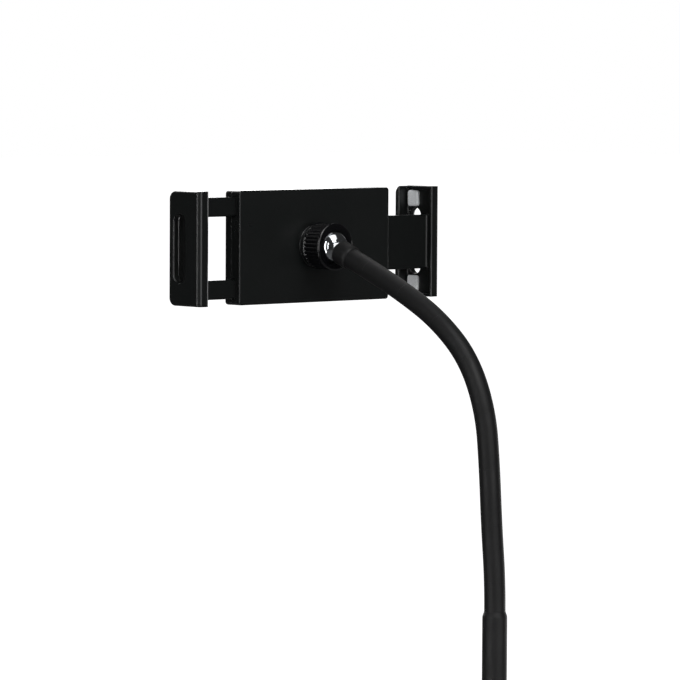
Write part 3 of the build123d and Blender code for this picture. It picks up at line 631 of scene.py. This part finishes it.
def foam_block(side, place, up):
    """One pad: round rectangle rings that draw in as they rise off the jaw's wall, so that the face is crowned.

    A ring at height h above the wall is inset by e (1 - sqrt(1 - (h / e)^2)) within the edge e of the face.
    """
    rise = np.linspace(0, math.pi / 2 * 0.97, 8)
    heights = JAW_PAD_THICK - JAW_PAD_EDGE + JAW_PAD_EDGE * np.sin(rise)
    insets = JAW_PAD_EDGE * (1 - np.cos(rise))
    heights = np.concatenate([[0.0, 0.6], heights, [JAW_PAD_THICK, JAW_PAD_THICK]])
    insets = np.concatenate([[0.12, 0.0], insets, [1.4, 2.6]])
    rings = []
    for height, inset in zip(heights, insets):
        a, b = JAW_PAD_HALF[0] - inset, JAW_PAD_HALF[1] - inset
        corner = max(JAW_PAD_CORNER - inset * 0.4, 0.5)
        outline = rounded([(-a, -b), (a, -b), (a, b), (-a, b)], [corner] * 4, 9)
        x = side * (place + JAW_WALL_INNER - height)
        y = REST_Y + JAW_PAD_MIDDLE[0] + outline[:, 0]
        z = BALL_Z + up * JAW_PAD_MIDDLE[1] + outline[:, 1]
        rings.append(np.stack([x + 0 * y, y, z], -1))
    rows, columns = len(rings), len(rings[0])
    faces = grid_faces(rows, columns, False, True) + grid_ends(rows, columns)
    if side > 0:
        faces = [face[::-1] for face in faces]
    return np.array(rings).reshape(-1, 3), faces


for name, side, place, body in (("fork", 1, FORK_PLACE, "fork_jaw"), ("tongue", -1, TONGUE_PLACE, "tongue_jaw")):
    pads = put_mesh(f"{name}_foam_pads", *joined([foam_block(side, place, up) for up in (1, -1)]), pale_foam)
    stands_for(pads, body, f"{name}_jaw_pads")


# Springs: a hook on the fixed peg, a straight tail, the coil, a tail and a hook on the arm's peg

COIL_R = 1.25
WIRE_R = 0.25
HOOK_R = 1.6
HOOK_OPEN = 35
TAIL = 5.0
PITCH = 0.9
SPRING_DEPTH = 7.075
ANCHOR = 45.0
PEG = 54.0
FORK_SPRING_UP = 23.6
TONGUE_SPRING_UP = 9.0


def spring_form(low, high, up):
    """A spring along X between two pegs: (x, R cos a, R sin a) with x rising by one pitch a turn.

    The coil's radius R grows from 0 to its full size within the first turn and shrinks in the last.
    """
    start, end = low + TAIL, high - TAIL
    turns = round((end - start) / PITCH)
    a = np.linspace(0, 2 * math.pi * turns, turns * 14 + 1)
    share = np.clip(np.minimum(a, a[-1] - a) / (2 * math.pi), 0, 1)
    radius = COIL_R * share ** 2 * (3 - 2 * share)
    x = np.linspace(start, end, len(a))
    coil = np.stack([x, radius * np.cos(a), radius * np.sin(a)], -1)
    coil_guide = np.stack([0 * a, np.cos(a), np.sin(a)], -1)
    h = np.linspace(math.radians(HOOK_OPEN), 2 * math.pi, 22)
    hook = np.stack([low + HOOK_R * np.cos(h), 0 * h, HOOK_R * np.sin(h)], -1)
    far = np.stack([high - HOOK_R * np.cos(h[::-1]), 0 * h, HOOK_R * np.sin(h[::-1])], -1)
    tail = np.stack([np.linspace(low + HOOK_R + 0.4, start - 0.3, 5), np.zeros(5), np.zeros(5)], -1)
    far_tail = np.stack([np.linspace(end + 0.3, high - HOOK_R - 0.4, 5), np.zeros(5), np.zeros(5)], -1)
    line = np.vstack([hook, tail, coil, far_tail, far])
    flat = np.tile([0.0, 1.0, 0.0], (len(hook) + 5, 1))
    guide = np.vstack([flat, coil_guide, flat])
    line = line + np.array([0, REST_Y + SPRING_DEPTH, BALL_Z + up])
    return wire_along(line, guide, WIRE_R)


for name, low, high, up in (("fork", -ANCHOR, FORK_PLACE - PEG, FORK_SPRING_UP),
                            ("tongue", PEG - TONGUE_PLACE, ANCHOR, TONGUE_SPRING_UP)):
    coils = put_mesh(f"{name}_coil_springs", *joined([spring_form(low, high, z) for z in (up, -up)]), spring_wire)
    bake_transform(coils)
    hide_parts(f"{name}_springs")


# Camera, as fitted to the photo: angles in degrees, lengths in millimetres

FOCAL_PIXELS = 4600.0
FRAME_PIXELS = 680.0
AZIMUTH, ELEVATION, ROLL = 136.939, 3.6407, 0.297
REST_POINT = (-5.45, -165.2495, 1209.588)
# Where the rest point lies from the camera, along the camera's right, up and back
REST_SEEN = (-21.24, 67.479, -2680.455)


def camera_place():
    """The camera's place: right, up and back are its axes after its azimuth, elevation and roll."""
    azimuth, elevation, roll = (math.radians(v) for v in (AZIMUTH, ELEVATION, ROLL))
    back = np.array([math.sin(azimuth) * math.cos(elevation), -math.cos(azimuth) * math.cos(elevation),
                     math.sin(elevation)])
    right = np.array([math.cos(azimuth), math.sin(azimuth), 0.0])
    up = np.cross(back, right)
    c, s = math.cos(roll), math.sin(roll)
    right, up = c * right + s * up, c * up - s * right
    place = np.eye(4)
    place[:3, :3] = np.stack([right, up, back], 1)
    place[:3, 3] = (np.array(REST_POINT) - np.array(REST_SEEN) @ np.stack([right, up, back])) * MM
    return place


camera_data = bpy.data.cameras.new("camera")
camera_data.sensor_width = 36.0
camera_data.lens = camera_data.sensor_width * FOCAL_PIXELS / FRAME_PIXELS
camera_data.clip_end = 200.0
camera = bpy.data.objects.new("camera", camera_data)
bpy.context.scene.collection.objects.link(camera)
camera.matrix_world = Matrix(camera_place())
bpy.context.scene.camera = camera


# Studio: a white backdrop, a bright screen behind the stand, and soft lamps

WHITE_SIDE = (-0.683, -0.730, 0.0)
SCREEN_EDGE, SCREEN_FULL = 0.70, 0.95
ROOM_GLOSS = 0.04
ROOM_FILL = 0.22
SCREEN_GLOSS = 0.6
# The floor, in metres: it is lit at the stand, where it takes the shadow, and glows to white away from it
REACH = 40.0
LIT_TO, WHITE_FROM = 0.2, 2.0
FLOOR_GLOW = 0.20
FLOOR_PAINT = "cfcfcf"
FLOOR_IN_GLOSS = "5a5a5a"


def studio_world():
    """White to the camera, a bright screen on one side to glossy rays, and a dim even fill to the rest."""
    world = bpy.data.worlds.new("studio")
    bpy.context.scene.world = world
    world.use_nodes = True
    tree = world.node_tree
    tree.nodes.clear()
    path, seen = seen_straight(tree)
    way = add(tree, "ShaderNodeTexCoord").outputs["Generated"]
    toward = add(tree, "ShaderNodeVectorMath", {0: way, 1: WHITE_SIDE}, operation="DOT_PRODUCT")
    screen = add(tree, "ShaderNodeMapRange", {"Value": toward.outputs["Value"], "From Min": SCREEN_EDGE,
                                              "From Max": SCREEN_FULL, "To Min": ROOM_GLOSS, "To Max": SCREEN_GLOSS},
                 interpolation_type="SMOOTHSTEP")
    gloss = add(tree, "ShaderNodeMix", {"Factor": path.outputs["Is Glossy Ray"], "A": ROOM_FILL,
                                        "B": screen.outputs[0]}, data_type="FLOAT")
    level = add(tree, "ShaderNodeMix", {"Factor": seen.outputs[0], "A": gloss.outputs[0], "B": 1.0},
                data_type="FLOAT")
    backdrop = add(tree, "ShaderNodeBackground", {"Color": (1, 1, 1, 1), "Strength": level.outputs[0]})
    add(tree, "ShaderNodeOutputWorld", {"Surface": backdrop.outputs[0]})


def floor_finish():
    """A pale matt floor that glows to the camera more and more away from the stand, and is darker in gloss."""
    material, tree, shader = new_material("pale_matt_floor", specular=0.1)
    shader.inputs["Roughness"].default_value = 0.9
    shader.inputs["Emission Color"].default_value = (1, 1, 1, 1)
    path, seen = seen_straight(tree)
    place = add(tree, "ShaderNodeTexCoord").outputs["Object"]
    away = add(tree, "ShaderNodeVectorMath", {0: place}, operation="LENGTH")
    lift = add(tree, "ShaderNodeMapRange", {"Value": away.outputs["Value"], "From Min": LIT_TO,
                                            "From Max": WHITE_FROM, "To Min": FLOOR_GLOW, "To Max": 1.0},
               interpolation_type="SMOOTHSTEP")
    paint = add(tree, "ShaderNodeMix", {"Factor": path.outputs["Is Glossy Ray"]}, data_type="RGBA")
    paint.inputs[6].default_value = colour(FLOOR_PAINT)
    paint.inputs[7].default_value = colour(FLOOR_IN_GLOSS)
    glow = add(tree, "ShaderNodeMath", {0: lift.outputs[0], 1: seen.outputs[0]}, operation="MULTIPLY")
    tree.links.new(paint.outputs[2], shader.inputs["Base Color"])
    tree.links.new(glow.outputs[0], shader.inputs["Emission Strength"])
    return material


studio_world()
corners = [(-REACH, -REACH, 0), (REACH, -REACH, 0), (REACH, REACH, 0), (-REACH, REACH, 0)]
floor_mesh = bpy.data.meshes.new("floor")
floor_mesh.from_pydata(corners, [], [(0, 1, 2, 3)])
floor_mesh.materials.append(floor_finish())
floor = bpy.data.objects.new("floor", floor_mesh)
bpy.context.scene.collection.objects.link(floor)
floor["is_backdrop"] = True

# Places that the lamps look at, in metres
HEAD = Vector((0, -0.14, 1.15))
TUBES = Vector((0, 0, 0.58))


def softbox(name, way, distance_m, size_m, power_w, aim=HEAD, spread=180):
    """A soft lamp that stands off a place on the stand in a direction and looks at it. Spread is in degrees."""
    data = bpy.data.lights.new(name, "AREA")
    data.shape = "RECTANGLE"
    data.size, data.size_y = size_m
    data.energy = power_w
    data.spread = math.radians(spread)
    lamp = bpy.data.objects.new(name, data)
    bpy.context.scene.collection.objects.link(lamp)
    away = Vector(way).normalized()
    lamp.location = aim + away * distance_m
    lamp.rotation_mode = "QUATERNION"
    lamp.rotation_quaternion = away.to_track_quat("Z", "Y")
    lamp.visible_camera = False
    return lamp


# Key and top make the ball's highlight, and the strips make the lines on the jaws, the nut and the ball's side.
# The fills lift the back, the front and the far side. The low lamps' narrow beams draw the tubes alone.
softbox("key", (0.27, 0.65, 0.71), 2.3, (0.9, 0.9), 20)
softbox("left_strip", (0.995, 0.0, -0.02), 1.1, (0.10, 1.7), 5.0)
softbox("thin_strip", (0.90, 0.33, 0.12), 2.3, (0.10, 1.8), 4)
softbox("top", (0.10, 0.30, 0.95), 2.0, (1.3, 1.3), 11)
softbox("right_fill", (0.14, 0.99, 0.15), 2.6, (1.9, 1.6), 25)
softbox("front_fill", (-0.35, -0.85, 0.45), 2.8, (2.2, 2.2), 80)
softbox("side_fill", (-0.98, -0.03, -0.16), 2.8, (1.4, 1.2), 12)
softbox("low_left", (0.96, 0.27, 0.0), 1.35, (0.30, 0.2), 0.9, TUBES, 36)
softbox("low_right", (-0.33, 0.94, 0.0), 1.35, (0.40, 0.2), 0.9, TUBES, 36)
softbox("low_front", (-0.63, -0.77, 0.0), 1.35, (0.40, 0.2), 1.2, TUBES, 36)

bpy.context.scene.view_settings.view_transform = "Standard"

low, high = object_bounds()
